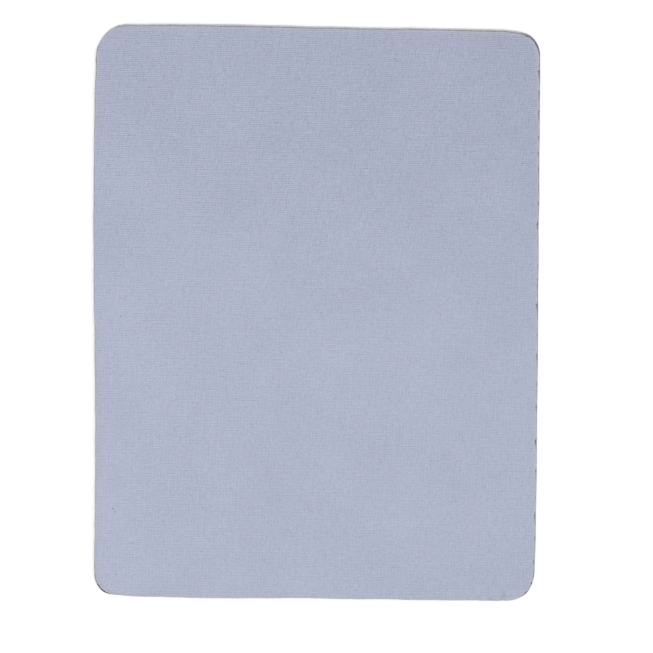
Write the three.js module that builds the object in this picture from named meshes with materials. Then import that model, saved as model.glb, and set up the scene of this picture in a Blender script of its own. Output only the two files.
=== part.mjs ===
// A cloth-topped mouse pad: four bonded layers, die-cut together to one rounded outline.
// Millimetres, +Z up. X runs across the pad and Y along it, with the back edge at +Y.
// The origin is the middle of the underside, on the desk.
import * as THREE from "three";

// Cut size, measured side to side and end to end
const padWidth = 200;
const padLength = 258;

// Each end is cut a little out of square: its right tip lies this much nearer the front than its left
const endSkew = 2.1;

// Corner radii of the rubber
const backLeftRadius = 17.5;
const backRightRadius = 12;
const frontRightRadius = 14;
const frontLeftRadius = 9.7;

// Layer thicknesses, from the desk up
const gripThickness = 0.3;
const coreThickness = 2.2;
const filmThickness = 0.1;
const clothThickness = 0.4;

// The cloth and its film draw back from the cut rubber, which leaves a thin dark rim
const clothSetback = 0.3;

// Both rims of the cloth are rounded over, by no more than a share of its thickness
const clothEdgeRound = 0.15;
const fullestRoundShare = 0.45;

// Fineness of the corners and of the rounded rims
const cornerSteps = 12;
const edgeRoundSteps = 3;

// Heights of the faces where one layer meets the next
const deskHeight = 0;
const gripTop = deskHeight + gripThickness;
const coreTop = gripTop + coreThickness;
const filmTop = coreTop + filmThickness;
const clothTop = filmTop + clothThickness;

const quarterTurn = Math.PI / 2;

// The corners in the order the outline runs, counter-clockwise from the front left
const corners = [
  { x: -1, y: -1, radius: frontLeftRadius },
  { x: 1, y: -1, radius: frontRightRadius },
  { x: 1, y: 1, radius: backRightRadius },
  { x: -1, y: 1, radius: backLeftRadius },
];

// The outline before it is skewed, drawn in by a setback with its corners kept concentric.
function squareOutline(setback) {
  const outline = new THREE.Shape();
  corners.forEach((corner, turn) => {
    const start = Math.PI + turn * quarterTurn;
    outline.absarc(
      corner.x * (padWidth / 2 - corner.radius),
      corner.y * (padLength / 2 - corner.radius),
      corner.radius - setback,
      start,
      start + quarterTurn,
    );
  });
  return outline;
}

// Slides the ends out of square and leaves the long sides straight along Y.
function skewEnds(geometry) {
  const fall = -endSkew / padWidth;
  geometry.applyMatrix4(new THREE.Matrix4().makeShear(fall, 0, 0, 0, 0, 0));
}

// Sets the two flat faces to exact heights, so that bonded layers share one plane.
function seatFaces(geometry, bottom, top) {
  geometry.computeBoundingBox();
  const { min, max } = geometry.boundingBox;
  const position = geometry.getAttribute("position");
  for (let i = 0; i < position.count; i++) {
    if (position.getZ(i) === min.z) position.setZ(i, bottom);
    if (position.getZ(i) === max.z) position.setZ(i, top);
  }
}

// One layer of the laminate between two heights, with both rims rounded by edgeRound.
function layerGeometry(setback, bottom, top, edgeRound = 0) {
  const geometry = new THREE.ExtrudeGeometry(squareOutline(setback), {
    depth: top - bottom - 2 * edgeRound,
    curveSegments: cornerSteps,
    bevelEnabled: edgeRound > 0,
    bevelThickness: edgeRound,
    bevelSize: edgeRound,
    bevelOffset: -edgeRound,
    bevelSegments: edgeRoundSteps,
  });
  skewEnds(geometry);
  geometry.translate(0, 0, bottom + edgeRound);
  seatFaces(geometry, bottom, top);
  return geometry;
}

function namedMesh(name, geometry, color, roughness) {
  const material = new THREE.MeshStandardMaterial({ color, roughness, metalness: 0 });
  const mesh = new THREE.Mesh(geometry, material);
  mesh.name = name;
  return mesh;
}

// Woven polyester cloth that the mouse runs on.
function clothSurface() {
  const edgeRound = Math.min(clothEdgeRound, clothThickness * fullestRoundShare);
  const geometry = layerGeometry(clothSetback, filmTop, clothTop, edgeRound);
  return namedMesh("cloth_surface", geometry, 0xaeb4c8, 0.9);
}

// Hot-melt film that bonds the cloth to the rubber, cut with the cloth.
function adhesiveFilm() {
  const geometry = layerGeometry(clothSetback, coreTop, filmTop);
  return namedMesh("adhesive_film", geometry, 0xb9b6ab, 0.6);
}

// Foamed rubber sheet that gives the pad its thickness and its cushion.
function spongeCore() {
  const geometry = layerGeometry(0, gripTop, coreTop);
  return namedMesh("sponge_core", geometry, 0x3b3b3d, 0.95);
}

// Dense non-slip rubber that lies on the desk.
function gripBase() {
  const geometry = layerGeometry(0, deskHeight, gripTop);
  return namedMesh("grip_base", geometry, 0x29292b, 0.85);
}

const mousePad = new THREE.Group();
mousePad.name = "mouse_pad";
mousePad.add(gripBase(), spongeCore(), adhesiveFilm(), clothSurface());

export default mousePad;
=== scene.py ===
import math

import bpy
import numpy as np
from mathutils import Euler, Matrix, Vector, noise
from mathutils.geometry import delaunay_2d_cdt


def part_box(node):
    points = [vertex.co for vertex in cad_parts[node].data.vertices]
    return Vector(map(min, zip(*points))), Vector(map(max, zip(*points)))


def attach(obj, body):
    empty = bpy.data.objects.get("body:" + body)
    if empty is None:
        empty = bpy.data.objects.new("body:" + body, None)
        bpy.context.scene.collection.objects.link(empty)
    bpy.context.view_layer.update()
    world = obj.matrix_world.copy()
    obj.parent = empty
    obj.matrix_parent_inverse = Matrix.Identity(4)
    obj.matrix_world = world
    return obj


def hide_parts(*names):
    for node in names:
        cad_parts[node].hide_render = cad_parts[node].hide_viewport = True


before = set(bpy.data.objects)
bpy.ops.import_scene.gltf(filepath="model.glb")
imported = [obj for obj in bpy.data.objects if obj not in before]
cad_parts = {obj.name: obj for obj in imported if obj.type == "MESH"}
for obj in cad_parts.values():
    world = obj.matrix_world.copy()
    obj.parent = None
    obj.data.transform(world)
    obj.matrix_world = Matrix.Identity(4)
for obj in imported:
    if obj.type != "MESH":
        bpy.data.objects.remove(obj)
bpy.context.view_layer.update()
mm = 0.001

# heights where one layer of the laminate meets the next
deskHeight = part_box("grip_base")[0].z
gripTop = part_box("grip_base")[1].z
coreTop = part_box("sponge_core")[1].z
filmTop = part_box("adhesive_film")[1].z
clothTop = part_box("cloth_surface")[1].z

# size, skew and corner radii of the cut rubber, and how the cut strays from them
padCut = {
    "width": 200 * mm,
    "length": 258 * mm,
    "endSkew": 2.1 * mm,  # the right tip of each end lies this much nearer the front
    "frontLeft": 9.7 * mm,
    "frontRight": 14 * mm,
    "backRight": 12 * mm,
    "backLeft": 17.5 * mm,
    "step": 0.4 * mm,  # spacing of the points round the edge
    "stray": 0.1 * mm,
    "strayScale": 12 * mm,
    "straySeed": 3.7,
    "leftWave": 0.28 * mm,  # the left side bows out and in along its length
    "leftWaveLength": 150 * mm,
    "leftWaveCrest": 30 * mm,
    "strays": [  # where the cut runs wide or short: place, push and reach, in millimetres
        (-96, -126, 0.3, 2.5), (-90.5, -128, -0.6, 4.5), (-50, -128, 0.33, 17), (2, -129, -0.2, 8),
        (94, -127.5, 0.38, 4), (96.7, -125.4, 0.2, 3), (100, -116, -0.5, 8), (100, -90, -0.18, 14),
        (90.5, 128, -0.58, 3), (22, 129, -0.2, 16), (-36, 129, 0.25, 16),
        (-81, 130, -0.27, 6), (-92, 127, 0.42, 4), (-100, 112, -0.6, 7),
        (-98, -123, -0.2, 5), (-100, -88, -0.24, 25), (-98.5, 119, 0.26, 3), (87, -130, -0.12, 4),
    ],
}


def cutOutline():
    halfWide, halfLong = padCut["width"] / 2, padCut["length"] / 2
    quarterTurn = math.pi / 2
    corners = [
        (-1, -1, padCut["frontLeft"]),
        (1, -1, padCut["frontRight"]),
        (1, 1, padCut["backRight"]),
        (-1, 1, padCut["backLeft"]),
    ]
    arcs = []
    for turn, (sideX, sideY, radius) in enumerate(corners):
        centre = np.array((sideX * (halfWide - radius), sideY * (halfLong - radius)))
        start = math.pi + turn * quarterTurn
        count = round(radius * quarterTurn / padCut["step"])
        angles = np.linspace(start, start + quarterTurn, count + 1)
        facing = np.column_stack([np.cos(angles), np.sin(angles)])
        arcs.append((centre + radius * facing, facing))
    points, normals = [], []
    for turn, (arc, facing) in enumerate(arcs):
        run = arcs[(turn + 1) % len(arcs)][0][0] - arc[-1]
        count = round(np.linalg.norm(run) / padCut["step"])
        shares = np.arange(1, count)[:, None] / count
        points += [arc, arc[-1] + shares * run]
        normals += [facing, np.repeat(facing[-1:], count - 1, axis=0)]
    points, normals = np.concatenate(points), np.concatenate(normals)
    fall = padCut["endSkew"] / padCut["width"]
    points[:, 1] -= fall * points[:, 0]
    normals[:, 0] += fall * normals[:, 1]
    return points, normals / np.linalg.norm(normals, axis=1, keepdims=True)


edgePoints, edgeNormals = cutOutline()
edgeCount = len(edgePoints)
facesRight = np.clip(edgeNormals[:, 0], 0, 1) ** 2
facesLeft = np.clip(-edgeNormals[:, 0], 0, 1) ** 2
facesBack = np.clip(edgeNormals[:, 1], 0, 1) ** 2
facesFront = np.clip(-edgeNormals[:, 1], 0, 1) ** 2
cornerShares = {  # 1 in the middle of a corner, 0 along the sides
    "backRight": 4 * facesRight * facesBack,
    "backLeft": 4 * facesLeft * facesBack,
    "frontRight": 4 * facesRight * facesFront,
    "frontLeft": 4 * facesLeft * facesFront,
}


def roundTheEdge(values):  # one value a side, and what a corner adds to them
    total = facesRight * values["right"] + facesLeft * values["left"]
    total += facesBack * values["back"] + facesFront * values["front"]
    for corner, share in cornerShares.items():
        total += share * values.get(corner, 0)
    return total


def edgeNoise(scale, seed):  # smooth noise round the edge, mostly from -1 to 1
    return np.array([2 * noise.noise(Vector((x / scale, y / scale, seed))) for x, y in edgePoints])


def nearPlaces(rows):  # soft bumps round the edge: place in millimetres, height, and reach in millimetres
    total = np.zeros(edgeCount)
    for x, y, height, reach in rows:
        away = np.linalg.norm(edgePoints - np.array((x, y)) * mm, axis=1) / (reach * mm)
        total += height * np.exp(-0.5 * away ** 2)
    return total


bowing = np.cos(2 * math.pi * (edgePoints[:, 1] - padCut["leftWaveCrest"]) / padCut["leftWaveLength"])
straying = padCut["stray"] * edgeNoise(padCut["strayScale"], padCut["straySeed"])
straying = straying + nearPlaces(padCut["strays"]) * mm
edgePoints = edgePoints + edgeNormals * (straying + padCut["leftWave"] * facesLeft * bowing)[:, None]
print("outline:", edgeCount, "points round the cut")


def ring(inset, height):  # one loop round the pad, drawn in from the cut by inset
    flat = edgePoints - edgeNormals * np.reshape(inset, (-1, 1))
    return np.column_stack([flat, np.broadcast_to(height, edgeCount)])


def addPiece(name, places, faces):
    mesh = bpy.data.meshes.new(name)
    mesh.from_pydata(places, [], faces)
    mesh.update()
    piece = bpy.data.objects.new(name, mesh)
    bpy.context.scene.collection.objects.link(piece)
    return piece


loopFill = {
    "margin": 0.6,  # share of the grid's spacing that stays clear of the loop
    "keep": 1,  # the triangles inside the loop alone
    "same": 1e-9,  # points nearer than this are one
}


def insideLoop(point, loop, margin):
    nearest = np.argmin(((loop - point) ** 2).sum(axis=1))
    return (loop[nearest] - point) @ edgeNormals[nearest] > margin


def fillLoop(places, faces, loop, first, spacing, lift, upwards):  # a grid over the inside of a flat loop
    flat = loop[:, :2]
    low, high = flat.min(axis=0), flat.max(axis=0)
    across = np.arange(low[0] + spacing, high[0], spacing)
    along = np.arange(low[1] + spacing, high[1], spacing)
    inner = [(x, y) for y in along for x in across]
    inner = [point for point in inner if insideLoop(point, flat, loopFill["margin"] * spacing)]
    given = [Vector(point) for point in flat.tolist() + inner]
    sides = [(i, (i + 1) % edgeCount) for i in range(edgeCount)]
    filled = delaunay_2d_cdt(given, sides, [], loopFill["keep"], loopFill["same"])
    points, _, triangles, sources, _, _ = filled
    index = []
    for point, source in zip(points, sources):
        if source and source[0] < edgeCount:
            index.append(first + source[0])
        else:
            index.append(len(places))
            places.append((point.x, point.y, lift(point.x, point.y)))
    for triangle in triangles:
        corners = [index[i] for i in triangle]
        faces.append(corners if upwards else corners[::-1])


def loftPiece(name, rings, wear, spacing, lift=None):
    places, faces = np.concatenate(rings).tolist(), []
    for level in range(len(rings) - 1):
        for i in range(edgeCount):
            a, b = level * edgeCount + i, level * edgeCount + (i + 1) % edgeCount
            faces.append((a, b, b + edgeCount, a + edgeCount))
    bottom, top = rings[0][0, 2], rings[-1][0, 2]
    fillLoop(places, faces, rings[0], 0, spacing, lambda x, y: bottom, False)
    first = (len(rings) - 1) * edgeCount
    fillLoop(places, faces, rings[-1], first, spacing, lift or (lambda x, y: top), True)
    piece = addPiece(name, places, faces)
    piece.data.polygons.foreach_set("use_smooth", [True] * len(faces))
    values = np.zeros(len(places))
    values[: len(rings) * edgeCount] = np.concatenate([np.broadcast_to(w, edgeCount) for w in wear])
    piece.data.attributes.new("wear", "FLOAT", "POINT").data.foreach_set("value", values)
    return piece


# maps for the exported textures: one face flat, the wall in strips beside it, the far face small
mapMargin = {
    "around": 1 * mm,
    "stripStart": 0.005,
    "stripLength": 0.99,
}
faceMap = {
    "flatScale": 1 / (262 * mm),
    "stripsFrom": 0.785,
    "stripPitch": 0.02,
    "stripWidth": 0.012,
    "stripCount": 4,
    "hiddenFrom": (0.875, 0.0),
    "hiddenScale": 0.55,
}
wallMap = {
    "flatScale": 0.36,
    "stripsFrom": 0.1,
    "stripPitch": 0.112,
    "stripWidth": 0.105,
    "stripCount": 8,
    "hiddenFrom": (0.0, 0.2),
    "hiddenScale": 0.36,
}


def mapForBake(piece, layout, levels, flatLevels=(), flatUp=True):
    mesh = piece.data
    places = np.empty(len(mesh.vertices) * 3)
    mesh.vertices.foreach_get("co", places)
    places = places.reshape(-1, 3)[:, :2] - edgePoints.min(axis=0) + mapMargin["around"]
    layer = mesh.uv_layers.new(name="OFBake").data
    perStrip = math.ceil(edgeCount / layout["stripCount"])
    wallRows = [level for level in range(levels - 1) if level not in flatLevels]
    rise = layout["stripWidth"] / len(wallRows)
    for face in mesh.polygons:
        level, column = divmod(face.index, edgeCount)
        if level in wallRows:
            strip, along = divmod(column, perStrip)
            start = layout["stripsFrom"] + strip * layout["stripPitch"] + wallRows.index(level) * rise
            for loop, (right, up) in zip(face.loop_indices, ((0, 0), (1, 0), (1, 1), (0, 1))):
                share = mapMargin["stripLength"] * (along + right) / perStrip
                layer[loop].uv = (start + up * rise, mapMargin["stripStart"] + share)
            continue
        seen = level in flatLevels or (face.normal.z > 0) == flatUp
        scale = layout["flatScale"] if seen else layout["hiddenScale"]
        shift = np.zeros(2) if seen else np.array(layout["hiddenFrom"])
        for loop in face.loop_indices:
            layer[loop].uv = shift + scale * places[mesh.loops[loop].vertex_index]


noiseRange = (0.3, 0.7)  # most of a noise texture lies between these
bumpStrength = 0.6


def startMaterial(name):
    material = bpy.data.materials.new(name)
    material.use_nodes = True
    return material, material.node_tree, material.node_tree.nodes["Principled BSDF"]


def addNode(tree, kind, inputs=None, **settings):
    node = tree.nodes.new(kind)
    for key, value in settings.items():
        setattr(node, key, value)
    for key, value in (inputs or {}).items():
        if isinstance(value, bpy.types.NodeSocket):
            tree.links.new(value, node.inputs[key])
        else:
            node.inputs[key].default_value = value
    return node


def sums(tree, operation, *values):  # one Math node
    return addNode(tree, "ShaderNodeMath", dict(enumerate(values)), operation=operation).outputs[0]


def vectors(tree, operation, *values):  # one Vector Math node
    return addNode(tree, "ShaderNodeVectorMath", dict(enumerate(values)), operation=operation).outputs[0]


def mixColour(tree, share, first, second):
    inputs = {0: share, 6: first, 7: second}
    return addNode(tree, "ShaderNodeMix", inputs, data_type="RGBA").outputs[2]


def remap(tree, value, low, high, newLow, newHigh, smooth=False):
    inputs = {"Value": value, "From Min": low, "From Max": high, "To Min": newLow, "To Max": newHigh}
    kind = "SMOOTHSTEP" if smooth else "LINEAR"
    return addNode(tree, "ShaderNodeMapRange", inputs, interpolation_type=kind).outputs[0]


def noiseValue(tree, source, scale, detail=2.0):  # about 0.5, from 0 to 1
    inputs = {"Vector": source, "Scale": scale, "Detail": detail}
    return addNode(tree, "ShaderNodeTexNoise", inputs).outputs["Fac"]


def stretchedNoise(tree, source, scale, seed):
    inputs = {"Vector": source, "Scale": scale, "Location": (0, 0, seed)}
    mapped = addNode(tree, "ShaderNodeMapping", inputs).outputs[0]
    return noiseValue(tree, mapped, 1.0)


def bands(tree, source, axis, threads):  # a crest every so many threads, from 0 to 1
    # at a scale of 1 the texture repeats every pi / 10
    inputs = {"Vector": source, "Scale": math.pi / 10 / threads, "Distortion": 0.0}
    settings = {"wave_type": "BANDS", "bands_direction": axis, "wave_profile": "SIN"}
    return addNode(tree, "ShaderNodeTexWave", inputs, **settings).outputs["Fac"]


def wearValue(tree):
    return addNode(tree, "ShaderNodeAttribute", attribute_name="wear").outputs["Fac"]


def addBump(tree, shader, height, distance):
    inputs = {"Height": height, "Distance": distance, "Strength": bumpStrength}
    bump = addNode(tree, "ShaderNodeBump", inputs).outputs[0]
    tree.links.new(bump, shader.inputs["Normal"])


# a plain weave, in which heavier threads show as fine broken lines
weave = {
    "shade": (0.311, 0.337, 0.444),
    "light": (0.576, 0.6135, 0.7615),
    "rim": (0.474, 0.486, 0.551),  # paler and greyer where the die pressed the edge
    "rimContrast": 0.22,
    "warpPitch": 0.375 * mm,
    "weftPitch": 0.382 * mm,
    "stretch": 0.085,  # the weft lies this much wider apart towards the back edge
    "stretchFrom": (40 * mm, 40 * mm),  # where that begins, and how gently
    "lean": (0.055, 0.147),  # slope of the warp at the front and at the back; the weft runs with the ends
    "leanFrom": (5 * mm, 15 * mm),
    "wander": 0.25 * mm,
    "wanderScale": 80.0,
    "lines": [  # heavier threads: axis, every so many threads, strength in front and at the back, seed
        ("Y", 2.0, 0.415, 0.58, 1.0),
        ("Y", 4.0, 0.105, 0.1, 4.0),
        ("X", 4.0, 0.127, 0.14, 7.0),
        ("X", 7.05, 0.04, 0.04, 10.0),
    ],
    "dashScale": (0.08, 0.22),  # how soon a line breaks off, along it and from one to the next
    "dashFrom": (0.38, 0.62),  # noise at which a dash starts, and at which it is full
    "risesFrom": (0.0, 85 * mm),  # the strengths change between these two lines across the pad
    "gainLeft": 0.15,  # the weft's lines are also stronger towards the left
    "steady": 0.3,  # and less broken at the back
    "fleck": (0.165, 0.23),  # unevenness of single crossings, in front and at the back
    "crown": (1.6, 0.4),  # a fleck shows most high on a thread: gain, and least share
    "mottle": 0.148,
    "mottleSize": 1.9,  # in threads
    "mottleSoft": 0.5,
    "pit": 0.3,  # painted shade: a few crossings are darker, as if they lay deeper
    "pitShare": 0.05,
    "slub": 0.13,
    "slubScale": (0.12, 0.5, 1),
    "slubSeed": 13.0,
    "cloud": 0.22,
    "cloudScale": 28.0,
    "cloudDetail": 3.0,
    "paintedLightFront": 0.145,  # painted light falloff: paler towards the front, and a little towards the left
    "paintedLightFrom": (129 * mm, -40 * mm),
    "paintedLightShares": (-0.68, 0.32),  # of the painted light falloff, at those two lines
    "paintedLightLeft": 0.09,
    # painted shade in the gaps between the threads
    "gapShade": 0.25,
    "gapBelow": 0.6,  # height of the threads under which a gap shows
    "gapShare": 0.35,  # mean share of that shade, given back to the tone
    "rimPatch": (0.65, 1.1),  # how patchily the rim's colour lies
    "threadRise": 0.02 * mm,
    "roughness": (0.95, 0.8),  # in the gaps and on the threads
    "specular": 0.2,
    "sheen": 0.15,
}
# faint soiling near the front edge, dark specks, and the painted shade of a crease: place, radius, strength
marks = {
    "core": 0.3,  # share of the radius that is evenly dark
    "patchFrom": (0.35, 0.6),  # noise at which a mark is faintest, and at which it is full
    "patch": (0.3, 1.0),  # share of its strength there
    "soil": (0.3, 0.29, 0.33),
    "soiled": [
        (79.1 * mm, -129.1 * mm, 1.4 * mm, 0.6),
        (85.6 * mm, -126.9 * mm, 1.3 * mm, 0.6),
        (84.6 * mm, -128.6 * mm, 1.4 * mm, 0.4),
        (85.3 * mm, -127.2 * mm, 3.0 * mm, 0.15),
    ],
    # colour of the specks, and of the crease's painted shade
    "speck": (0.1, 0.105, 0.12),
    "specksAndCreaseShade": [
        (-91.4 * mm, -88.3 * mm, 0.7 * mm, 0.53),
        (-90.6 * mm, -89.6 * mm, 0.6 * mm, 0.4),
        (-82.7 * mm, -103.8 * mm, 0.6 * mm, 0.3),
        (-80.2 * mm, 120.8 * mm, 0.7 * mm, 0.4),
        (-88.1 * mm, -1.3 * mm, 0.6 * mm, 0.52),
        (73.9 * mm, -128.0 * mm, 0.8 * mm, 0.3),
        (-97.5 * mm, -122.5 * mm, 0.6 * mm, 0.14),  # painted shade of a crease inside the front left corner
        (-96.9 * mm, -123.3 * mm, 0.6 * mm, 0.16),
        (-96.2 * mm, -124.0 * mm, 0.6 * mm, 0.14),
    ],
}


def easedRamp(tree, value, start, ease):  # rises from 0 to value - start, bending over ease on either side
    past = sums(tree, "SUBTRACT", value, start)
    eased = sums(tree, "SQRT", sums(tree, "MULTIPLY_ADD", past, past, ease ** 2))
    return sums(tree, "MULTIPLY", sums(tree, "ADD", past, eased), 0.5)


def threadPlaces(tree, place):  # counts threads across and along, as they lie on the pad
    across, along, _ = addNode(tree, "ShaderNodeSeparateXYZ", {0: place}).outputs
    level = sums(tree, "MULTIPLY_ADD", across, padCut["endSkew"] / padCut["width"], along)
    widening = easedRamp(tree, level, *weave["stretchFrom"])
    pulled = sums(tree, "MULTIPLY_ADD", widening, -weave["stretch"], level)
    leanFront, leanBack = weave["lean"]
    upright = sums(tree, "MULTIPLY_ADD", level, -leanFront, across)
    turning = easedRamp(tree, level, *weave["leanFrom"])
    upright = sums(tree, "MULTIPLY_ADD", turning, leanFront - leanBack, upright)
    inputs = {"Vector": place, "Scale": weave["wanderScale"], "Detail": 1.0}
    wander = addNode(tree, "ShaderNodeTexNoise", inputs).outputs["Color"]
    wander = vectors(tree, "MULTIPLY_ADD", wander, (weave["wander"],) * 3, (-weave["wander"] / 2,) * 3)
    straight = addNode(tree, "ShaderNodeCombineXYZ", {0: upright, 1: pulled}).outputs[0]
    pitch = (1 / weave["warpPitch"], 1 / weave["weftPitch"], 0)
    return vectors(tree, "MULTIPLY", vectors(tree, "ADD", straight, wander), pitch)


def brokenLines(tree, threads, axis, spacing, seed):  # heavier threads, which come and go in dashes
    crest = sums(tree, "SUBTRACT", bands(tree, threads, axis, spacing), 0.5)
    onward, aside = weave["dashScale"]
    scale = (onward, aside, 1) if axis == "Y" else (aside, onward, 1)
    dash = remap(tree, stretchedNoise(tree, threads, scale, seed), *weave["dashFrom"], 0, 1)
    return crest, dash


def clothMaterial():
    material, tree, shader = startMaterial("woven cloth")
    place = addNode(tree, "ShaderNodeTexCoord").outputs["Object"]
    threads = threadPlaces(tree, place)

    # one thread over, the next under
    warp, weft = bands(tree, threads, "X", 1), bands(tree, threads, "Y", 1)
    over = addNode(tree, "ShaderNodeTexChecker", {"Vector": threads, "Scale": 1.0}).outputs["Fac"]
    warpHeight = sums(tree, "MULTIPLY", warp, sums(tree, "MULTIPLY_ADD", weft, 0.5, 0.5))
    weftHeight = sums(tree, "MULTIPLY", weft, sums(tree, "MULTIPLY_ADD", warp, 0.5, 0.5))
    crossing = {0: over, 2: weftHeight, 3: warpHeight}
    height = addNode(tree, "ShaderNodeMix", crossing, data_type="FLOAT").outputs[0]

    # tone of each spot: heavier threads, flecks at single crossings, slubs, slow clouds, and painted shade
    # in the gaps
    tone = 0.5 + weave["gapShare"] * weave["gapShade"]
    relief = height
    across, along, _ = addNode(tree, "ShaderNodeSeparateXYZ", {0: place}).outputs
    gain = sums(tree, "MULTIPLY_ADD", across, -2 * weave["gainLeft"] / padCut["width"], 1.0)
    rising = remap(tree, along, *weave["risesFrom"], 0.0, 1.0, True)
    steady = sums(tree, "MULTIPLY", rising, weave["steady"])
    for axis, spacing, front, back, seed in weave["lines"]:
        crest, dash = brokenLines(tree, threads, axis, spacing, seed)
        if axis == "Y":
            dash = sums(tree, "MULTIPLY", sums(tree, "MAXIMUM", dash, steady), gain)
        line = sums(tree, "MULTIPLY", crest, dash)
        strength = sums(tree, "MULTIPLY_ADD", rising, back - front, front)
        tone = sums(tree, "MULTIPLY_ADD", line, strength, tone)
        relief = sums(tree, "ADD", relief, line)
    cell = vectors(tree, "FLOOR", threads)
    fleck = addNode(tree, "ShaderNodeTexWhiteNoise", {"Vector": cell}).outputs["Value"]
    crown = sums(tree, "MULTIPLY_ADD", height, *weave["crown"])
    # painted shade of the deeper crossings
    pit = remap(tree, fleck, 0.0, weave["pitShare"], -weave["pit"], 0.0)
    tone = sums(tree, "MULTIPLY_ADD", pit, crown, tone)
    meanRoot = 0.667  # of numbers spread evenly from 0 to 1
    fleck = sums(tree, "SUBTRACT", sums(tree, "SQRT", fleck), meanRoot)
    front, back = weave["fleck"]
    strength = sums(tree, "MULTIPLY_ADD", rising, back - front, front)
    tone = sums(tree, "MULTIPLY_ADD", sums(tree, "MULTIPLY", fleck, crown), strength, tone)
    inputs = {"Vector": threads, "Scale": 1 / weave["mottleSize"], "Smoothness": weave["mottleSoft"]}
    settings = {"voronoi_dimensions": "2D", "feature": "SMOOTH_F1"}
    mottle = addNode(tree, "ShaderNodeTexVoronoi", inputs, **settings).outputs["Color"]
    mottle = addNode(tree, "ShaderNodeSeparateColor", {0: mottle}).outputs[0]
    slub = stretchedNoise(tree, threads, weave["slubScale"], weave["slubSeed"])
    cloud = noiseValue(tree, place, weave["cloudScale"], weave["cloudDetail"])
    for pattern, strength in ((mottle, weave["mottle"]), (slub, weave["slub"]), (cloud, weave["cloud"])):
        tone = sums(tree, "MULTIPLY_ADD", sums(tree, "SUBTRACT", pattern, 0.5), strength, tone)
    # painted shade: where the threads lie low, the colour is darkened
    gap = remap(tree, height, 0.0, weave["gapBelow"], weave["gapShade"], 0.0)
    tone = sums(tree, "SUBTRACT", tone, gap)

    # the rim keeps one colour all round, and the rest gets a painted light falloff, paler towards the front
    # and the left
    rim = np.outer((1 - weave["rimContrast"], 1 + weave["rimContrast"]), weave["rim"])
    rim = mixColour(tree, tone, (*rim[0], 1), (*rim[1], 1))
    # painted light: the tone is raised towards the front and the left
    dark, pale = [share * weave["paintedLightFront"] for share in weave["paintedLightShares"]]
    front = remap(tree, along, *weave["paintedLightFrom"], dark, pale, True)
    left = sums(tree, "MULTIPLY", across, -weave["paintedLightLeft"] / padCut["width"])
    tone = sums(tree, "ADD", sums(tree, "ADD", front, left), tone)
    colour = mixColour(tree, tone, (*weave["shade"], 1), (*weave["light"], 1))
    worn = sums(tree, "MULTIPLY", wearValue(tree), remap(tree, slub, *noiseRange, *weave["rimPatch"]))
    colour = mixColour(tree, worn, colour, rim)

    patchy = remap(tree, slub, *marks["patchFrom"], *marks["patch"])
    for spots, tint in ((marks["soiled"], marks["soil"]), (marks["specksAndCreaseShade"], marks["speck"])):
        for x, y, radius, strength in spots:
            ends = {0: place, 1: (x, y, clothTop)}
            away = addNode(tree, "ShaderNodeVectorMath", ends, operation="DISTANCE").outputs["Value"]
            share = remap(tree, away, marks["core"] * radius, radius, strength, 0.0, True)
            colour = mixColour(tree, sums(tree, "MULTIPLY", share, patchy), colour, (*tint, 1))
    tree.links.new(colour, shader.inputs["Base Color"])
    tree.links.new(remap(tree, height, 0.0, 1.0, *weave["roughness"]), shader.inputs["Roughness"])
    addBump(tree, shader, relief, weave["threadRise"])
    shader.inputs["Sheen Weight"].default_value = weave["sheen"]
    shader.inputs["Specular IOR Level"].default_value = weave["specular"]
    return material


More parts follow.
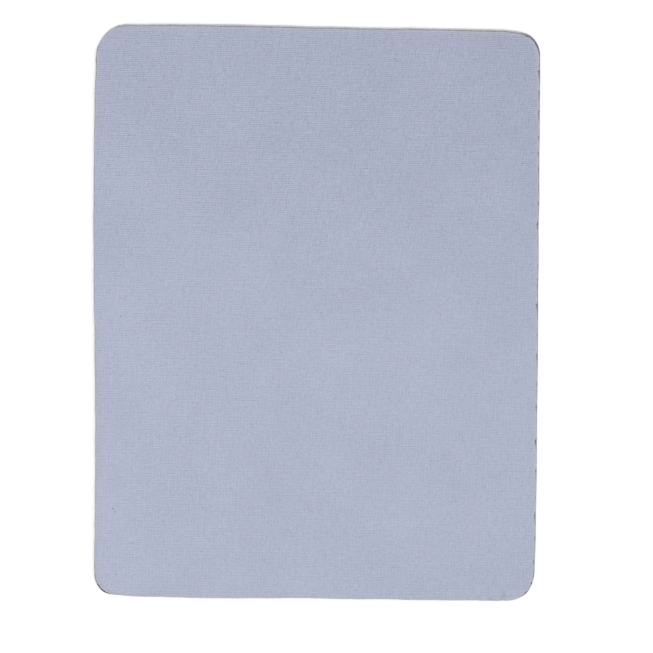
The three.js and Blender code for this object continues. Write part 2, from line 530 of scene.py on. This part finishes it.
# the cloth draws back from the cut by a different amount on each side, and unevenly
cloth = {
    "setback": {
        "right": 0.18 * mm, "left": 0.14 * mm, "back": 1.06 * mm, "front": 0.03 * mm,
        "backRight": 0.38 * mm, "backLeft": -0.27 * mm, "frontRight": 0.15 * mm, "frontLeft": 0.52 * mm,
    },
    "ragged": {"right": 0.08 * mm, "left": 0.21 * mm, "back": 0.03 * mm, "front": 0.05 * mm},
    "raggedScale": 4.2 * mm,
    "raggedSharp": 2,
    "raggedSeed": 8.1,
    "nick": 0.7 * mm,  # the right side is nicked, as the die left it
    "nickVaries": 0.45,
    "nickFrom": 109.4 * mm,
    "nickPitch": ((-60 * mm, 40 * mm), (15 * mm, 8.2 * mm)),  # two places along it, and the pitch there
    "nickStart": 0.6 * mm,  # each starts sharply and fades towards the front
    "nickFade": 3 * mm,
    "nickKeeps": 12,  # holds the nicks to the straight side, off its corners
    "nickSeeds": (44.13, 8.45),  # for their places and their depths
    "drawn": [  # where it draws back further: place, depth and reach, in millimetres
        (100, 118.5, 0.5, 3.2), (-100, -119, 0.35, 3), (-94, -127.5, 0.2, 2.5), (95.4, -126.3, 0.3, 1.5),
        (98.6, -122.2, 0.25, 0.7), (100, -118, 0.05, 1.6), (-99.5, 117, 0.15, 4), (-100, -84, -0.12, 10),
        (94.5, 126, 0.1, 1.5), (-86, 129.5, 0.05, 1.3), (-98.9, 118.6, 0.2, 1.2), (-100, 113.5, 0.2, 1.2),
        (-100, 107, 0.4, 1), (-100, 58, 0.2, 1), (-100, 49, 0.2, 0.7), (-100, -21.5, 0.4, 0.8),
        (73, 128.3, 0.12, 8), (-23, 129.2, 0.08, 3), (-38, 129.4, 0.08, 5), (-100, 96, 0.13, 11),
        (-100, -104, -0.05, 12), (100, 97, 0.14, 9),
    ],
    "notch": {"right": 0.32 * mm, "left": 0.14 * mm, "back": 0.1 * mm, "front": 0.03 * mm},  # lost threads
    "notchScale": 1.2 * mm,
    "notchSharp": 2.5,
    "notchRare": 1.75,
    "notchSeed": 7.5,
    "frayed": 0.08 * mm,
    "frayedScale": 0.8 * mm,
    "frayedSeed": 2.6,
    "least": 0.01 * mm,
    "pressed": 0.1 * mm,  # how far the die pressed the rim down
    "wearReach": {
        "right": 1.4 * mm, "left": 1.0 * mm, "back": 1.4 * mm, "front": 1.4 * mm,
        "backRight": -0.2 * mm, "backLeft": 0.3 * mm, "frontLeft": 0.2 * mm,
    },
    "wearFull": 1.2,  # over 1, so that the outermost rim is worn all over
    "flatFrom": 4 * mm,  # from here in, the face is one even grid
    "grid": 2.5 * mm,
    "ripple": 0.04 * mm,
    "rippleScale": 45 * mm,
    "rippleSeed": 5.2,
}


def nickedSide():  # one nick after another along the right side, from the back
    along = edgePoints[:, 1]
    total, place = np.zeros(edgeCount), cloth["nickFrom"]
    while place > along.min():
        shift, depth = [2 * noise.noise(Vector((place / mm, 0, seed))) for seed in cloth["nickSeeds"]]
        past = place - along
        shape = np.exp(np.where(past > 0, -past / cloth["nickFade"], past / cloth["nickStart"]))
        total = np.maximum(total, (1 + cloth["nickVaries"] * depth) * shape)
        place -= np.interp(place, *cloth["nickPitch"]) * (1 + cloth["nickVaries"] * shift)
    return cloth["nick"] * facesRight ** cloth["nickKeeps"] * total


def clothSetback():
    frayed = edgeNoise(cloth["frayedScale"], cloth["frayedSeed"])
    ragged = np.tanh(cloth["raggedSharp"] * edgeNoise(cloth["raggedScale"], cloth["raggedSeed"]))
    notched = cloth["notchSharp"] * edgeNoise(cloth["notchScale"], cloth["notchSeed"]) - cloth["notchRare"]
    total = roundTheEdge(cloth["setback"]) + cloth["frayed"] * frayed
    total += roundTheEdge(cloth["ragged"]) * ragged
    total += nearPlaces(cloth["drawn"]) * mm
    total += roundTheEdge(cloth["notch"]) * np.clip(notched, 0, 1)
    return np.maximum(total + nickedSide(), cloth["least"])


def clothLift(x, y):
    scale = cloth["rippleScale"]
    ripple = noise.noise(Vector((x / scale, y / scale, cloth["rippleSeed"])))
    return clothTop - cloth["ripple"] * (0.5 + 0.5 * ripple)


setback = clothSetback()


def makeCloth():
    pressed = cloth["pressed"]
    shoulder = clothTop - pressed
    profile = [  # inset and height, from the underside round to the top
        (0.06 * mm, filmTop),
        (0.0, filmTop + 0.06 * mm),
        (0.0, shoulder - 0.12 * mm),
        (0.03 * mm, shoulder - 0.05 * mm),
        (0.1 * mm, shoulder - 0.01 * mm),
        (0.25 * mm, shoulder + 0.3 * pressed),
        (0.5 * mm, shoulder + 0.5 * pressed),
        (0.8 * mm, shoulder + 0.7 * pressed),
        (1.2 * mm, shoulder + 0.85 * pressed),
        (1.7 * mm, shoulder + 0.9 * pressed),
    ]
    rings = [ring(setback + inset, height) for inset, height in profile]
    inner = ring(cloth["flatFrom"], clothTop)
    inner[:, 2] = [clothLift(x, y) for x, y, _ in inner]
    reach = roundTheEdge(cloth["wearReach"])
    wear = [np.clip(cloth["wearFull"] - inset / reach, 0, 1) for inset, _ in profile] + [0.0]
    piece = loftPiece("cloth_face", rings + [inner], wear, cloth["grid"], clothLift)
    firstFlat = 4  # from this ring on, the rim lies nearly flat
    mapForBake(piece, faceMap, len(rings) + 1, flatLevels=range(firstFlat, len(rings)))
    piece.data.materials.append(clothMaterial())
    return piece


clothFace = makeCloth()
print("cloth:", len(clothFace.data.polygons), "faces")


def startTree(name, sizes):
    tree = bpy.data.node_groups.new(name, "GeometryNodeTree")
    tree.interface.new_socket("Geometry", in_out="INPUT", socket_type="NodeSocketGeometry")
    for label, value in sizes.items():
        kind = "NodeSocketInt" if isinstance(value, int) else "NodeSocketFloat"
        tree.interface.new_socket(label, in_out="INPUT", socket_type=kind)
    tree.interface.new_socket("Geometry", in_out="OUTPUT", socket_type="NodeSocketGeometry")
    return tree, tree.nodes.new("NodeGroupInput").outputs, tree.nodes.new("NodeGroupOutput").inputs


def endTree(tree, instances, material, result):
    real = addNode(tree, "GeometryNodeRealizeInstances", {"Geometry": instances}).outputs[0]
    painted = addNode(tree, "GeometryNodeSetMaterial", {"Geometry": real, "Material": material}).outputs[0]
    tree.links.new(painted, result[0])
    return tree


def growPiece(piece, tree, sizes):  # runs the tree once and keeps its result as a plain mesh
    modifier = piece.modifiers.new(tree.name, "NODES")
    modifier.node_group = tree
    for item in tree.interface.items_tree:
        if item.in_out == "INPUT" and item.name in sizes:
            modifier[item.identifier] = sizes[item.name]
    depsgraph = bpy.context.evaluated_depsgraph_get()
    grown = bpy.data.meshes.new_from_object(piece.evaluated_get(depsgraph), depsgraph=depsgraph)
    piece.modifiers.remove(modifier)
    piece.data = grown
    return piece


def randomValue(tree, seed, low=0.0, high=1.0):
    inputs = {2: low, 3: high, "Seed": seed}
    return addNode(tree, "FunctionNodeRandomValue", inputs, data_type="FLOAT").outputs[1]


def randomVector(tree, seed, low, high):
    inputs = {0: low, 1: high, "Seed": seed}
    return addNode(tree, "FunctionNodeRandomValue", inputs, data_type="FLOAT_VECTOR").outputs[0]


# cut ends of the yarn, which stand out of the cloth's edge over the rubber
yarnEnds = {
    "colour": (0.5, 0.525, 0.62),
    "dark": (0.36, 0.385, 0.47),
    "pitch": 0.34 * mm,
    "radius": 0.09 * mm,
    "tip": 0.04 * mm,
    "sides": 5,
    "spread": 0.45,
    "strays": ((-1, -1, -1), (1, 1, 0.4)),  # least and most that an end turns aside, times the spread
    "lengths": (0.5, 1.4),  # least and most, of the reach
    "reach": {"right": 0.24 * mm, "left": 0.2 * mm, "back": 0.16 * mm, "front": 0.14 * mm},
    "rooted": 0.06 * mm,
    "height": 0.16 * mm,  # over the film
    "fibre": 0.06 * mm,
    "fibreRise": 0.3,  # of a fibre's width
    "fibreTone": (0.5, 1.2),
    "roughness": (0.95, 0.8),
    "seed": 11,
}


def yarnTree(material, sizes):
    tree, given, result = startTree("cut yarn ends", sizes)
    path = addNode(tree, "GeometryNodeMeshToCurve", {"Mesh": given["Geometry"]}).outputs[0]
    spaced = {"Curve": path, "Length": given["Pitch"]}
    points = addNode(tree, "GeometryNodeResampleCurve", spaced, mode="LENGTH").outputs[0]
    lift = vectors(tree, "SCALE", randomVector(tree, given["Seed"], (0, 0, -1), (0, 0, 1)))
    tree.links.new(given["Radius"], lift.node.inputs["Scale"])
    points = addNode(tree, "GeometryNodeSetPosition", {"Geometry": points, "Offset": lift}).outputs[0]
    tangent = addNode(tree, "GeometryNodeInputTangent").outputs[0]
    outward = vectors(tree, "CROSS_PRODUCT", tangent, (0, 0, 1))
    stray = vectors(tree, "SCALE", randomVector(tree, given["Seed"], *yarnEnds["strays"]))
    tree.links.new(given["Spread"], stray.node.inputs["Scale"])
    aim = {"Vector": vectors(tree, "ADD", outward, stray)}
    turn = addNode(tree, "FunctionNodeAlignRotationToVector", aim, axis="Z").outputs[0]
    asked = {"Name": "reach"}
    reach = addNode(tree, "GeometryNodeInputNamedAttribute", asked, data_type="FLOAT").outputs[0]
    length = sums(tree, "MULTIPLY", reach, randomValue(tree, given["Seed"], *yarnEnds["lengths"]))
    scale = addNode(tree, "ShaderNodeCombineXYZ", {0: 1.0, 1: 1.0, 2: length}).outputs[0]
    cone = {
        "Vertices": yarnEnds["sides"], "Radius Bottom": given["Radius"], "Radius Top": given["Tip Radius"],
        "Depth": 1.0,
    }
    strand = addNode(tree, "GeometryNodeMeshCone", cone).outputs["Mesh"]
    placed = {"Points": points, "Instance": strand, "Rotation": turn, "Scale": scale}
    strands = addNode(tree, "GeometryNodeInstanceOnPoints", placed).outputs[0]
    named = {"Geometry": strands, "Name": "shade", "Value": randomValue(tree, given["Seed"])}
    kind = {"data_type": "FLOAT", "domain": "INSTANCE"}
    strands = addNode(tree, "GeometryNodeStoreNamedAttribute", named, **kind).outputs[0]
    return endTree(tree, strands, material, result)


def yarnMaterial():
    material, tree, shader = startMaterial("cut yarn")
    shade = addNode(tree, "ShaderNodeAttribute", attribute_name="shade").outputs["Fac"]
    place = addNode(tree, "ShaderNodeTexCoord").outputs["Object"]
    fibres = noiseValue(tree, place, 1 / yarnEnds["fibre"])
    soft = sums(tree, "MULTIPLY", shade, remap(tree, fibres, *noiseRange, *yarnEnds["fibreTone"]))
    colour = mixColour(tree, soft, (*yarnEnds["dark"], 1), (*yarnEnds["colour"], 1))
    tree.links.new(colour, shader.inputs["Base Color"])
    roughness = remap(tree, fibres, *noiseRange, *yarnEnds["roughness"])
    tree.links.new(roughness, shader.inputs["Roughness"])
    addBump(tree, shader, fibres, yarnEnds["fibreRise"] * yarnEnds["fibre"])
    shader.inputs["Sheen Weight"].default_value = weave["sheen"]
    return material


def makeYarnEnds():
    loop = ring(setback + yarnEnds["rooted"], filmTop + yarnEnds["height"]).tolist()
    mesh = bpy.data.meshes.new("yarn_ends")
    mesh.from_pydata(loop, [(i, (i + 1) % edgeCount) for i in range(edgeCount)], [])
    reach = roundTheEdge(yarnEnds["reach"]) + yarnEnds["rooted"]
    mesh.attributes.new("reach", "FLOAT", "POINT").data.foreach_set("value", reach)
    piece = bpy.data.objects.new("yarn_ends", mesh)
    bpy.context.scene.collection.objects.link(piece)
    sizes = {
        "Pitch": yarnEnds["pitch"], "Radius": yarnEnds["radius"], "Tip Radius": yarnEnds["tip"],
        "Spread": yarnEnds["spread"], "Seed": yarnEnds["seed"],
    }
    return growPiece(piece, yarnTree(yarnMaterial(), sizes), sizes)


yarnFringe = makeYarnEnds()
print("yarn ends:", len(yarnFringe.data.polygons), "faces")


# what the film, the sponge and the grip have in common
rubber = {
    "swirl": 0.8,  # how finely the cells are warped
    "cells": [(1.0, 1.0), (0.45, 0.6)],  # size and depth of the large and the small ones
    "pore": (0.22, 0.42),  # where a pore's floor ends and its rim begins, in cells
    "grain": 3,  # grains to a cell
    "grainDetail": 3.0,
    "grainTone": (0.85, 1.15),
    "grainRise": 0.3,
    "blotchDetail": 4.0,
    "blotchTone": (0.8, 1.2),
    "dustFrom": (0.35, 0.65),
    "dustShare": (0.83, 0.965),
    "rise": 0.3,  # of a cell's width
    "roughness": (0.75, 0.95),
    "specular": 0.3,
}


def rubberMaterial(name, finish):
    material, tree, shader = startMaterial(name)
    place = addNode(tree, "ShaderNodeTexCoord").outputs["Object"]
    inputs = {"Vector": place, "Scale": rubber["swirl"] / finish["cell"]}
    swirl = addNode(tree, "ShaderNodeTexNoise", inputs).outputs["Color"]
    warped = vectors(tree, "MULTIPLY_ADD", swirl, (finish["cell"],) * 3, place)
    pores = 0.0
    for share, strength in rubber["cells"]:
        inputs = {"Vector": warped, "Scale": 1 / (share * finish["cell"])}
        away = addNode(tree, "ShaderNodeTexVoronoi", inputs).outputs["Distance"]
        pores = sums(tree, "MAXIMUM", remap(tree, away, *rubber["pore"], strength, 0.0, True), pores)
    grain = noiseValue(tree, place, rubber["grain"] / finish["cell"], rubber["grainDetail"])
    blotch = noiseValue(tree, place, finish["blotch"], rubber["blotchDetail"])
    tone = remap(tree, grain, *noiseRange, *rubber["grainTone"])
    tone = sums(tree, "MULTIPLY", tone, remap(tree, blotch, *noiseRange, *rubber["blotchTone"]))
    tone = sums(tree, "MULTIPLY", tone, sums(tree, "MULTIPLY_ADD", pores, -finish["porous"], 1.0))
    grey = addNode(tree, "ShaderNodeCombineXYZ", {0: tone, 1: tone, 2: tone}).outputs[0]
    dark = vectors(tree, "MULTIPLY", grey, finish["colour"])
    dusty = remap(tree, blotch, *rubber["dustFrom"], *rubber["dustShare"])
    dusty = sums(tree, "MULTIPLY", wearValue(tree), dusty)
    relief = sums(tree, "MULTIPLY_ADD", grain, rubber["grainRise"], sums(tree, "MULTIPLY", pores, -1.0))
    tree.links.new(mixColour(tree, dusty, dark, (*finish["dust"], 1)), shader.inputs["Base Color"])
    tree.links.new(remap(tree, blotch, *noiseRange, *rubber["roughness"]), shader.inputs["Roughness"])
    addBump(tree, shader, relief, rubber["rise"] * finish["cell"])
    shader.inputs["Specular IOR Level"].default_value = rubber["specular"]
    return material


film = {
    "setback": 0.08 * mm,
    "ragged": 0.03 * mm,
    "raggedScale": 2.5 * mm,
    "raggedSeed": 1.4,
    "rounded": 0.03 * mm,
    "colour": (0.42, 0.4, 0.34),
    "dust": (0.3, 0.3, 0.3),
    "cell": 0.6 * mm,
    "porous": 0.1,
    "blotch": 300.0,
    "grid": 8 * mm,
}


def makeFilm():
    ragged = 1 + edgeNoise(film["raggedScale"], film["raggedSeed"])
    edge = setback + film["setback"] + film["ragged"] * ragged
    rounded = edge + film["rounded"]
    rings = [ring(rounded, coreTop), ring(edge, (coreTop + filmTop) / 2), ring(rounded, filmTop)]
    piece = loftPiece("bond_film", rings, [0.0, 0.0, 0.0], film["grid"])
    piece.data.materials.append(rubberMaterial("bond film", film))
    return piece


bondFilm = makeFilm()
print("film:", len(bondFilm.data.polygons), "faces")

sponge = {
    "colour": (0.053, 0.058, 0.078),
    "dust": (0.685, 0.69, 0.71),
    "dusty": {
        "right": 0.4, "left": 0.6, "back": 1.0, "front": 0.6,
        "backRight": -0.36, "backLeft": 0.1, "frontRight": 0.25, "frontLeft": -0.8,
    },
    "bare": [  # spots with little dust: place, how bare, and reach, in millimetres
        (95.4, -126.3, 0.65, 1.3), (98.6, -122.2, 0.75, 0.5), (99.7, -118.8, 0.2, 0.9),
        (99.8, 118.3, 0.15, 3), (-86, 129.5, 0.15, 1.4), (-89, 128.6, 0.35, 0.7),
        (-98.6, 119.4, 0.8, 0.5), (-99.2, 117.8, 0.7, 0.5), (-100, 113.5, 0.6, 1.1),
        (-100, 107, 0.6, 1), (-100, -21.5, 0.5, 0.8),
    ],
    "dustAndShadeReach": [  # how far in from the cut, and how much of the rim's dust lies there; partly dust, and partly painted shade, so a wide rim darkens next to the cloth's edge
        (0.12 * mm, 1.0), (0.4 * mm, 1.0), (0.7 * mm, 0.72), (1.0 * mm, 0.3), (3 * mm, 0.0),
    ],
    "wallDust": 0.3,
    "cell": 0.4 * mm,
    "porous": 0.65,
    "blotch": 400.0,
    "dish": 0.15 * mm,  # the cut wall is hollowed between its rims
    "rimRound": 0.12 * mm,
    "bevel": 0.03 * mm,
    "flatFrom": 2 * mm,
    "pitDepth": 0.05 * mm,
    "pitScale": 0.7 * mm,
    "wallRings": 9,
    "grid": 8 * mm,
}


def makeSponge():
    tall = coreTop - gripTop
    rimDust = np.clip(roundTheEdge(sponge["dusty"]) - nearPlaces(sponge["bare"]), 0, 1)
    rings, wear = [ring(sponge["flatFrom"], gripTop)], [0.0]
    for level in range(sponge["wallRings"]):
        share = level / (sponge["wallRings"] - 1)
        height = gripTop + share * (tall - sponge["rimRound"])
        hollow = sponge["dish"] * 4 * share * (1 - share)
        pits = sponge["pitDepth"] * np.abs(edgeNoise(sponge["pitScale"], height / sponge["pitScale"]))
        rings.append(ring(hollow + pits, height))
        wear.append(sponge["wallDust"] * share * rimDust)
    rings.append(ring(sponge["bevel"], coreTop - sponge["bevel"]))
    wear.append(rimDust)
    # partly dust, partly painted shade: the rim darkens where it runs in towards the cloth's edge
    for inset, share in sponge["dustAndShadeReach"]:
        rings.append(ring(inset, coreTop))
        wear.append(share * rimDust)
    piece = loftPiece("sponge_sheet", rings, wear, sponge["grid"])
    mapForBake(piece, wallMap, len(rings))
    piece.data.materials.append(rubberMaterial("sponge rubber", sponge))
    return piece


spongeSheet = makeSponge()
print("sponge:", len(spongeSheet.data.polygons), "faces")

# the underside: low diamond studs on a thin sheet of denser rubber
grip = {
    "colour": (0.022, 0.022, 0.024),
    "dust": (0.12, 0.12, 0.12),
    "cell": 0.3 * mm,
    "porous": 0.2,
    "blotch": 250.0,
    "dustAt": [0.0, 0.3, 0.3, 0.2],  # on the rings from the field to the top
    "flatFrom": 1 * mm,
    "bevel": 0.02 * mm,
    "relief": 0.14 * mm,
    "pitch": 3 * mm,
    "foot": 1.15 * mm,
    "tip": 0.8 * mm,
    "sides": 4,
    "border": 1.3 * mm,
    "sunk": 0.04 * mm,
    "grid": 8 * mm,
}


def studTree(material, sizes):
    tree, given, result = startTree("grip studs", sizes)
    grid = {
        "Size X": given["Across"], "Size Y": given["Along"],
        "Vertices X": given["Columns"], "Vertices Y": given["Rows"],
    }
    lattice = addNode(tree, "GeometryNodeMeshGrid", grid).outputs[0]
    index = addNode(tree, "GeometryNodeInputIndex").outputs[0]
    odd = sums(tree, "MODULO", sums(tree, "MODULO", index, given["Rows"]), 2.0)
    shift = sums(tree, "MULTIPLY", odd, sums(tree, "MULTIPLY", given["Pitch"], 0.5))
    offset = addNode(tree, "ShaderNodeCombineXYZ", {0: shift}).outputs[0]
    staggered = addNode(tree, "GeometryNodeSetPosition", {"Geometry": lattice, "Offset": offset}).outputs[0]
    ray = {"Target Geometry": given["Geometry"], "Ray Direction": (0, 0, 1), "Ray Length": 1.0}
    hit = addNode(tree, "GeometryNodeRaycast", ray).outputs["Is Hit"]
    outside = addNode(tree, "FunctionNodeBooleanMath", {0: hit}, operation="NOT").outputs[0]
    dropped = {"Geometry": staggered, "Selection": outside}
    kept = addNode(tree, "GeometryNodeDeleteGeometry", dropped).outputs[0]
    cone = {
        "Vertices": grip["sides"], "Radius Bottom": given["Tip Radius"], "Radius Top": given["Foot Radius"],
        "Depth": given["Height"],
    }
    stud = addNode(tree, "GeometryNodeMeshCone", cone).outputs["Mesh"]
    studs = addNode(tree, "GeometryNodeInstanceOnPoints", {"Points": kept, "Instance": stud}).outputs[0]
    return endTree(tree, studs, material, result)


def makeGrip():
    field, bevel = deskHeight + grip["relief"], grip["bevel"]
    rings = [
        ring(grip["flatFrom"], field),
        ring(bevel, field),
        ring(0.0, field + bevel),
        ring(0.0, gripTop),
    ]
    sheetPiece = loftPiece("grip_sheet", rings, grip["dustAt"], grip["grid"])
    mapForBake(sheetPiece, faceMap, len(rings), flatLevels=[0], flatUp=False)
    material = rubberMaterial("grip rubber", grip)
    sheetPiece.data.materials.append(material)

    studs = addPiece("grip_studs", ring(grip["border"], field).tolist(), [tuple(range(edgeCount))])
    spanX, spanY = np.ptp(edgePoints, axis=0)
    columns = math.ceil(spanX / grip["pitch"]) + 1
    rows = math.ceil(2 * spanY / grip["pitch"]) + 1
    sizes = {
        "Pitch": grip["pitch"], "Columns": columns, "Rows": rows,
        "Across": (columns - 1) * grip["pitch"], "Along": (rows - 1) * grip["pitch"] / 2,
        "Foot Radius": grip["foot"], "Tip Radius": grip["tip"], "Height": grip["relief"] + grip["sunk"],
    }
    return sheetPiece, growPiece(studs, studTree(material, sizes), sizes)


gripSheet, gripStuds = makeGrip()
print("grip:", len(gripSheet.data.polygons), "faces and", len(gripStuds.data.polygons), "on the studs")

for piece, node, slotName in (
    (clothFace, "cloth_surface", "cloth"),
    (yarnFringe, "cloth_surface", "cloth"),
    (bondFilm, "adhesive_film", "film"),
    (spongeSheet, "sponge_core", "sponge"),
    (gripSheet, "grip_base", "grip"),
    (gripStuds, "grip_base", "grip"),
):
    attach(piece, "root")
    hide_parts(node)

studio = {
    "floorSize": 6.0,
    "floorGap": 0.02 * mm,  # keeps the floor clear of the studs' flat tips
    "floorColour": (0.85, 0.85, 0.85, 1),
    "floorGlow": (0.275, 0.95),  # seen by the lens alone, near the pad and far out
    "glowReach": (0.4, 2.4),
    "dome": 0.42,
    "lamps": [  # name, place, width, length and power
        ("overhead", (0.0, 0.0, 2.0), 0.4, 1.6, 17.6),
        ("right", (1.0, 0.0, 2.15), 0.9, 0.9, 9.2),
    ],
}


def seenByLens(tree):  # 1 on rays that make the picture's background, also in gloss and glass
    path = addNode(tree, "ShaderNodeLightPath").outputs
    seen = sums(tree, "MAXIMUM", path["Is Camera Ray"], path["Is Glossy Ray"])
    return sums(tree, "MAXIMUM", seen, path["Is Transmission Ray"])


def makeFloor():
    half = studio["floorSize"] / 2
    height = deskHeight - studio["floorGap"]
    corners = [(-half, -half, height), (half, -half, height), (half, half, height), (-half, half, height)]
    floor = addPiece("studio_floor", corners, [(0, 1, 2, 3)])
    material, tree, shader = startMaterial("studio floor")
    shader.inputs["Base Color"].default_value = studio["floorColour"]
    shader.inputs["Roughness"].default_value = 1.0
    shader.inputs["Specular IOR Level"].default_value = 0.0
    shader.inputs["Emission Color"].default_value = (1, 1, 1, 1)
    place = addNode(tree, "ShaderNodeTexCoord").outputs["Object"]
    away = addNode(tree, "ShaderNodeVectorMath", {0: place}, operation="LENGTH").outputs["Value"]
    glow = remap(tree, away, *studio["glowReach"], *studio["floorGlow"])
    tree.links.new(sums(tree, "MULTIPLY", seenByLens(tree), glow), shader.inputs["Emission Strength"])
    floor.data.materials.append(material)


def makeLight():
    world = bpy.data.worlds.new("studio")
    world.use_nodes = True
    tree = world.node_tree
    strength = remap(tree, seenByLens(tree), 0, 1, studio["dome"], 1.0)
    tree.links.new(strength, tree.nodes["Background"].inputs["Strength"])
    tree.nodes["Background"].inputs["Color"].default_value = (1, 1, 1, 1)
    bpy.context.scene.world = world
    for name, place, width, length, power in studio["lamps"]:
        lamp = bpy.data.lights.new(name, "AREA")
        lamp.shape = "RECTANGLE"
        lamp.size = width
        lamp.size_y = length
        lamp.energy = power
        holder = bpy.data.objects.new(name, lamp)
        holder.location = place
        holder.rotation_euler = (-Vector(place)).to_track_quat("-Z", "Y").to_euler()
        bpy.context.scene.collection.objects.link(holder)


# nearly straight down, as the photograph was taken
lens = {
    "focal": 85.0,  # this and the sensor in millimetres, as Blender counts them
    "sensor": 36,
    "nearest": 10 * mm,
    "tilt": (2.0, 0.53, -0.21),  # degrees about X, Y and the line of sight
    "away": 694.8 * mm,
    "aside": (4.52 * mm, -5.58 * mm),
}


def makeCamera():
    data = bpy.data.cameras.new("camera")
    data.lens = lens["focal"]
    data.sensor_width = lens["sensor"]
    data.clip_start = lens["nearest"]
    camera = bpy.data.objects.new("camera", data)
    turn = Euler([math.radians(-angle) for angle in lens["tilt"]], "ZYX").to_matrix()
    place = turn @ Vector((*lens["aside"], lens["away"])) + Vector((0, 0, coreTop))
    camera.matrix_world = Matrix.Translation(place) @ turn.to_4x4()
    bpy.context.scene.collection.objects.link(camera)
    bpy.context.scene.camera = camera


makeFloor()
makeLight()
makeCamera()
bpy.context.scene.view_settings.view_transform = "Standard"
print("studio: floor, light and camera")
